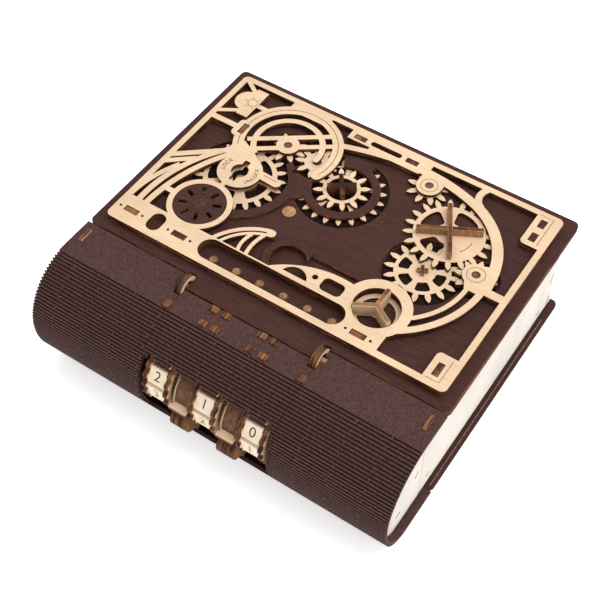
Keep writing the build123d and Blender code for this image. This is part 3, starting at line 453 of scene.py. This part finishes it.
def as_piece(name, mesh, finish, body, node_name=None):
    """A mesh, already in place, as a piece of the object; it may stand for a CAD node."""
    thing = set_out(name, mesh)
    dress(thing, finish)
    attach(thing, body)
    if node_name:
        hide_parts(node_name)


def finished(name, shape, finish, body, node_name=None):
    """A bmesh, already in place, as a piece of the object."""
    bmesh.ops.recalc_face_normals(shape, faces=shape.faces)
    as_piece(name, mesh_of(shape, name), finish, body, node_name)


def add_mesh(shape, mesh):
    """Add a mesh to a shape and throw the mesh away."""
    shape.from_mesh(mesh)
    bpy.data.meshes.remove(mesh)


def merged_copy(node_name):
    """A bmesh of a CAD node with its loose triangles joined and its flats made whole."""
    shape = bmesh.new()
    shape.from_mesh(frame["nodes"][node_name].data)
    bmesh.ops.remove_doubles(shape, verts=shape.verts, dist=1e-6)
    bmesh.ops.dissolve_limit(
        shape, angle_limit=math.radians(0.5), use_dissolve_boundaries=False,
        verts=shape.verts, edges=shape.edges)
    return shape


def ease_edges(shape, edges, width):
    """Round edges over by a hair, as sanding does."""
    bmesh.ops.bevel(
        shape, geom=edges, offset=width * MM, offset_type="OFFSET", segments=2,
        profile=0.5, affect="EDGES", clamp_overlap=True, material=-1)


def soften(shape, width, least_angle=40.0):
    """Ease every sharp edge of a shape."""
    sharp = []
    for edge in shape.edges:
        if len(edge.link_faces) == 2 and edge.calc_face_angle(0) > math.radians(least_angle):
            sharp.append(edge)
    ease_edges(shape, sharp, width)


def add_box(shape, size, matrix, ease=0.0):
    """Add a box to a shape; size and ease in millimetres, matrix in metres."""
    part = bmesh.new()
    bmesh.ops.create_cube(part, size=1.0)
    bmesh.ops.scale(part, vec=Vector(size) * MM, verts=part.verts)
    if ease:
        ease_edges(part, part.edges[:], ease)
    bmesh.ops.transform(part, matrix=matrix, verts=part.verts)
    add_mesh(shape, mesh_of(part, "part"))


def add_rod(shape, x, y, low, high, radius, ease):
    """Add an upright rod with eased rims to a shape; all in millimetres."""
    part = bmesh.new()
    bmesh.ops.create_cone(
        part, cap_ends=True, segments=40, radius1=radius * MM, radius2=radius * MM,
        depth=(high - low) * MM)
    rims = [e for e in part.edges if abs(e.verts[0].co.z - e.verts[1].co.z) < 1e-7]
    ease_edges(part, rims, ease)
    bmesh.ops.translate(part, vec=place(x, y, (low + high) / 2), verts=part.verts)
    add_mesh(shape, mesh_of(part, "part"))


def add_strip(shape, first, second, lift):
    """Add a strip between two rows of points, raised by lift; all in metres."""
    one = [shape.verts.new(point) for point in first]
    two = [shape.verts.new(point) for point in second]
    faces = []
    for number in range(len(one) - 1):
        faces.append(shape.faces.new(
            (one[number], one[number + 1], two[number + 1], two[number])))
    raised = bmesh.ops.extrude_face_region(shape, geom=faces)
    lifted = [item for item in raised["geom"] if isinstance(item, bmesh.types.BMVert)]
    bmesh.ops.translate(shape, vec=lift, verts=lifted)


def add_ring_part(shape, x, wide, middle, outer, inner, start, sweep):
    """Add part of an upright ring, square to the spine's length."""
    rows = []
    for radius in (outer, inner):
        arc = circle_points(*middle, radius, start, start + sweep, ROUND_STEPS)
        rows.append([place(x, y, z) for y, z in arc])
    add_strip(shape, rows[0], rows[1], (wide * MM, 0, 0))


# ---------------------------------------------------------------- engraved lines
def ink_height(board_top):
    """Height of an engraved line's underside on a board."""
    return board_top + INK_LIFT - INK_THICK / 2


def ribbon(shape, points, width, z):
    """A thin flat line through points of the drawing, square to Z, with a little thickness."""
    left, right = [], []
    for number, point in enumerate(points):
        before = points[max(number - 1, 0)]
        after = points[min(number + 1, len(points) - 1)]
        run = Vector((after[0] - before[0], after[1] - before[1])).normalized()
        side = Vector((-run.y, run.x)) * width / 2
        left.append(place(point[0] + side.x, point[1] + side.y, z))
        right.append(place(point[0] - side.x, point[1] - side.y, z))
    add_strip(shape, right, left, (0, 0, INK_THICK * MM))


frame_ink = ink_height(FRAME_TOP)
lines = bmesh.new()
ribbon(lines, circle_points(*HUB, HUB_ARC_RADIUS, -20, 212, 120), 0.45, frame_ink)
ribbon(lines, circle_points(*CREST, CREST_RING_RADIUS, 0, 360, 48), 0.35, frame_ink)
ribbon(lines, circle_points(*LINK, LINK_RING_RADIUS, 0, 360, 48), 0.35, frame_ink)
ribbon(lines, KEY_LINE, 0.4, frame_ink)
for corner_line in CORNER_LINES:
    ribbon(lines, corner_line, 0.4, frame_ink)
ribbon(lines, circle_points(*SUN, SUN_RADIUS, 0, 360, 32), 0.4, frame_ink)
ray_starts = circle_points(*SUN, RAY_NEAR, 0, 360, RAYS)
ray_ends = circle_points(*SUN, RAY_FAR, 0, 360, RAYS)
for number in range(RAYS):
    ribbon(lines, [ray_starts[number], ray_ends[number]], 0.5, frame_ink)
finished("engraved_lines", lines, engraved, "lid")

gear_line = bmesh.new()
ribbon(gear_line, circle_points(*MAIN, MAIN_ARC_RADIUS, -36, 4, 24), 0.5, ink_height(MAIN_TOP))
finished("gear_line", gear_line, engraved, "main")


def letters(text, size, matrix, thick):
    """Text as a mesh, centred on the origin of its own plane and then set in place."""
    curve = bpy.data.curves.new("letters", "FONT")
    curve.body = text
    curve.size = size * MM
    curve.align_x = "CENTER"
    curve.align_y = "CENTER"
    curve.extrude = thick * MM / 2
    curve.resolution_u = 4
    writing = set_out("letters", curve)
    bpy.context.view_layer.update()
    seen = writing.evaluated_get(bpy.context.evaluated_depsgraph_get())
    mesh = bpy.data.meshes.new_from_object(seen)
    bpy.data.objects.remove(writing)
    mesh.transform(matrix)
    return mesh


def round_text(shape, text, middle, step, size):
    """Letters set one by one round the keyhole; angles in degrees."""
    for number, letter in enumerate(text):
        angle = middle + (number - (len(text) - 1) / 2) * step
        turn = angle + math.copysign(90, step)
        x = KEY[0] + WORD_RADIUS * math.cos(math.radians(angle))
        y = KEY[1] + WORD_RADIUS * math.sin(math.radians(angle))
        spot = flat_turn(x, y, FRAME_TOP + INK_LIFT, turn)
        add_mesh(shape, letters(letter, size, spot, LETTER_THICK))


key_words = bmesh.new()
round_text(key_words, "LOCK", 178, -15, 3.8)
round_text(key_words, "UNLOCK", 0, 14, 3.6)
finished("key_words", key_words, digit_ink, "lid")

# ---------------------------------------------------------------- number tiles
for wheel, centre in WHEEL_CENTRES.items():
    tiles = bmesh.new()
    marks = bmesh.new()
    middle = place(centre, WHEEL_Y, WHEEL_Z)
    for number in range(DIGITS):
        angle = math.radians(FIRST_ANGLE + number * 360 / DIGITS)
        out = Vector((0, math.cos(angle), math.sin(angle)))
        up = Vector((0, math.sin(angle), -math.cos(angle)))
        turn = Matrix((Vector((1, 0, 0)), up, out)).transposed().to_4x4()
        board = Matrix.Translation(middle + out * (FLAT_RADIUS - PLY / 2) * MM) @ turn
        add_box(tiles, (TILE_WIDE, TILE_LONG, PLY), board, TILE_EASE)
        shown = Matrix.Translation(middle + out * (FLAT_RADIUS - DIGIT_SINK) * MM) @ turn
        digit = str((FIRST_DIGIT[wheel] + number) % DIGITS)
        add_mesh(marks, letters(digit, DIGIT_SIZE, shown, DIGIT_THICK))
    finished("tiles_" + wheel, tiles, tile_face, wheel + "_wheel", "number_tiles_" + wheel)
    finished("digits_" + wheel, marks, digit_ink, wheel + "_wheel")


# ---------------------------------------------------------------- ribbed spine
def spine_point(angle):
    """A point of the spine's outline and its outward direction; 90 is up, 180 out, 270 down."""
    turn = math.radians(angle)
    if angle <= 180:
        y, a, b = SPINE_Y, SPINE_A, SPINE_B
    else:
        y, a, b = HEEL_Y, HEEL_A, HEEL_B
    point = (y + a * math.cos(turn), -SPINE_B + b * math.sin(turn))
    out = Vector((0, math.cos(turn) / a, math.sin(turn) / b)).normalized()
    return point, out


def cut_slit_row(cutters, low_end, high_end, row, point, out):
    """One dashed row of slits along the spine, its dashes shifted from the row before."""
    along = Vector((1, 0, 0))
    turn = Matrix((along, out.cross(along), out)).transposed().to_4x4()
    start = low_end - ROW_LEAD - (row % ROW_SHIFTS) * (DASH / ROW_SHIFTS)
    while start < high_end + ROW_LEAD:
        low = max(start, low_end - SLIT_OVERRUN)
        high = min(start + DASH - BRIDGE, high_end + SLIT_OVERRUN)
        if high - low > SHORTEST_SLIT:
            spot = Matrix.Translation(place((low + high) / 2, *point))
            add_box(cutters, (high - low, SLIT_WIDE, 2 * SLIT_DEEP), spot @ turn)
        start += DASH


def slit_cutters(low_end, high_end):
    """Dashed slits along the spine board, like those that let the real board bend, as one cutter
    mesh.
    """
    cutters = bmesh.new()
    angle = SLIT_START
    last = None
    row = 0
    while angle < SLIT_END:
        point, out = spine_point(angle)
        if last is None or math.dist(point, last) >= SLIT_PITCH:
            cut_slit_row(cutters, low_end, high_end, row, point, out)
            last = point
            row += 1
        angle += SLIT_TURN
    return mesh_of(cutters, "slits")


def cut_away(mesh, cutter_mesh):
    """Take one mesh out of another."""
    board = set_out("cutting", mesh)
    cutter = set_out("cutter", cutter_mesh)
    change = board.modifiers.new("cut", "BOOLEAN")
    change.operation = "DIFFERENCE"
    change.solver = "EXACT"
    change.object = cutter
    bpy.context.view_layer.update()
    seen = board.evaluated_get(bpy.context.evaluated_depsgraph_get())
    left = bpy.data.meshes.new_from_object(seen)
    bpy.data.objects.remove(board)
    bpy.data.objects.remove(cutter)
    return left


for side in ("left", "centre", "right"):
    skin = "spine_skin_" + side
    low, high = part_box(skin)
    board = mesh_of(merged_copy(skin), "ribbed_" + skin)
    ribbed = cut_away(board, slit_cutters(low[0] / MM, high[0] / MM))
    as_piece("ribbed_skin_" + side, ribbed, spine_board, "case", skin)

# ---------------------------------------------------------------- hinge eyes
arches = bmesh.new()
for x in ARCH_STARTS:
    arch = bmesh.new()
    add_ring_part(
        arch, x, ARCH_WIDE, (HINGE_Y, HINGE_Z), ARCH_OUTER, ARCH_OUTER - ARCH_THICK,
        ARCH_START, ARCH_SWEEP)
    bmesh.ops.recalc_face_normals(arch, faces=arch.faces)
    soften(arch, ARCH_EASE, 50)
    add_mesh(arches, mesh_of(arch, "part"))
finished("hinge_arches", arches, pale_ply["x"], "lid", "hinge_eyes")

# ---------------------------------------------------------------- divider bands
bands = bmesh.new()
for first, second in (("left", "middle"), ("middle", "right")):
    low = WHEEL_CENTRES[first] + TILE_WIDE / 2 + RIM_THICK + PLY + BAND_GAP
    high = WHEEL_CENTRES[second] - TILE_WIDE / 2 - RIM_THICK - BAND_GAP
    for x in (low, high - BAND_THICK):
        add_ring_part(
            bands, x, BAND_THICK, (WHEEL_Y, WHEEL_Z), BAND_OUTER, BAND_INNER,
            BAND_START, BAND_SWEEP)
finished("divider_bands", bands, pale_ply["x"], "case")

# ---------------------------------------------------------------- end walls
brackets = bmesh.new()
wall_marks = bmesh.new()
wall_lines = bmesh.new()
for side in (-1, 1):
    x = side * (WALL_X - MARK_SINK)
    for (y0, z0), (y1, z1) in WALL_SLOTS:
        length = math.hypot(y1 - y0, z1 - z0)
        tilt = Matrix.Rotation(math.atan2(z1 - z0, y1 - y0), 4, "X")
        spot = Matrix.Translation(place(x, (y0 + y1) / 2, (z0 + z1) / 2))
        add_box(wall_marks, (MARK_THICK, length, WALL_SLOT_WIDE), spot @ tilt)
    spot = Matrix.Translation(place(x, WALL_LINE_Y, WALL_LINE_Z))
    add_box(wall_lines, (MARK_THICK, WALL_LINE_LONG, WALL_LINE_WIDE), spot)
    spot = Matrix.Translation(place(side * (WALL_X - PLY / 2), BRACKET_MIDDLE, BRACKET_TOP / 2))
    add_box(
        brackets, (PLY + BRACKET_SPARE, BRACKET_LONG + BRACKET_SPARE, BRACKET_TOP), spot, 0.25)
finished("bracket_tops", brackets, stud_ply, "case")
finished("wall_slots", wall_marks, digit_ink, "case")
finished("wall_lines", wall_lines, engraved, "case")

# ---------------------------------------------------------------- buttons in the long window
button_rims = bmesh.new()
button_tops = bmesh.new()
for number in range(BUTTONS):
    x = BUTTON_FIRST_X + BUTTON_PITCH * number
    # The dark rim about each button is partly burnt wood and partly painted shade under the
    # raised tan top.
    add_rod(
        button_rims, x, BUTTON_Y, -PLY, BUTTON_RIM_TOP, BUTTON_RIM_RADIUS, BUTTON_RIM_EASE)
    add_rod(button_tops, x, BUTTON_Y, BUTTON_LOW, BUTTON_TOP, BUTTON_RADIUS, BUTTON_EASE)
finished("button_rims", button_rims, deep_wood, "lid", "window_buttons")
finished("button_tops", button_tops, button_wood, "lid")

# ---------------------------------------------------------------- painted shade: dark discs on the base board under the gears, where the pockets lie in shadow
shade_discs = bmesh.new()
# each disc is painted shade, laid on the base board where a pocket lies in shadow
for (x, y), radius in POCKETS:
    ribbon(shade_discs, circle_points(x, y, radius / 2, 0, 360, 72), radius * POCKET_SHARE, -PLY)
finished("painted_pocket_shadows", shade_discs, painted_pocket_shade, "lid")

# ---------------------------------------------------------------- guard's apron
apron = bmesh.new()
rows = []
for radius in (APRON_OUTER, APRON_INNER):
    arc = circle_points(*TWIN, radius, APRON_START, APRON_START + APRON_SWEEP, APRON_STEPS)
    rows.append([place(x, y, APRON_LOW) for x, y in arc])
add_strip(apron, rows[0], rows[1], (0, 0, APRON_THICK * MM))
finished("guard_apron", apron, singed_ply, "lid")

# ---------------------------------------------------------------- painted highlights along the cover's seams
highlight_strips = bmesh.new()
# each strip is a painted highlight on the dark cover, near its outer edge
for x in (-SEAM_X, SEAM_X):
    ribbon(highlight_strips, [(x, SEAM_FRONT), (x, SEAM_BACK)], SEAM_WIDE, ink_height(COVER_TOP))
finished("painted_seam_highlights", highlight_strips, cover_edge_highlight, "case")

# ---------------------------------------------------------------- eased boards
body_of_node = {}
for body, members in frame["record"]["behaviour"]["bodies"].items():
    for member in members:
        body_of_node[member] = body
for node_name, width in EASED.items():
    shape = merged_copy(node_name)
    soften(shape, width)
    piece_name = "eased_" + node_name
    as_piece(piece_name, mesh_of(shape, piece_name), node_finish[node_name],
             body_of_node[node_name], node_name)

# ---------------------------------------------------------------- stage, light and camera
floor_shape = bmesh.new()
bmesh.ops.create_grid(floor_shape, x_segments=1, y_segments=1, size=FLOOR_SIZE)
floor = set_out("floor", mesh_of(floor_shape, "floor"))
floor.location.z = -FLOOR_DROP
floor_finish = Finish("pale_floor")
floor_finish.shader.inputs["Base Color"].default_value = grey(0.98)
floor_finish.shader.inputs["Roughness"].default_value = 0.9
floor_finish.shader.inputs["Specular IOR Level"].default_value = 0.1
floor_finish.shader.inputs["Emission Color"].default_value = WHITE
floor_finish.shader.inputs["Emission Strength"].default_value = FLOOR_GLOW
dress(floor, floor_finish.material)


def turn_to(thing, spot, aim):
    """Set a light or a camera at a spot, looking at another; both in metres."""
    thing.location = spot
    thing.rotation_euler = (Vector(aim) - Vector(spot)).to_track_quat("-Z", "Y").to_euler()


def soft_light(name, spot, size, power):
    """A square area light aimed at the box."""
    lamp = bpy.data.lights.new(name, "AREA")
    lamp.shape = "SQUARE"
    lamp.size = size
    lamp.energy = power
    turn_to(set_out(name, lamp), spot, LIGHT_AIM)


soft_light("key_light", (0.5, 0.4, 1.6), 1.1, 15.0)
soft_light("side_light", (1.5, -0.1, 0.7), 1.0, 3.8)
soft_light("back_light", (-0.9, 0.9, 0.9), 1.0, 3.0)

world = bpy.data.worlds.new("studio")
world.use_nodes = True
sky = world.node_tree.nodes["Background"]
sky.inputs["Color"].default_value = WHITE
sky.inputs["Strength"].default_value = SKY_STRENGTH
bpy.context.scene.world = world
bpy.context.scene.view_settings.view_transform = "Standard"

camera_data = bpy.data.cameras.new("camera")
camera_data.lens = CAMERA_LENS
camera_data.sensor_width = 36.0
camera_data.clip_start = 0.01
camera = set_out("camera", camera_data)
turn_to(camera, CAMERA_SPOT, CAMERA_AIM)
bpy.context.scene.camera = camera
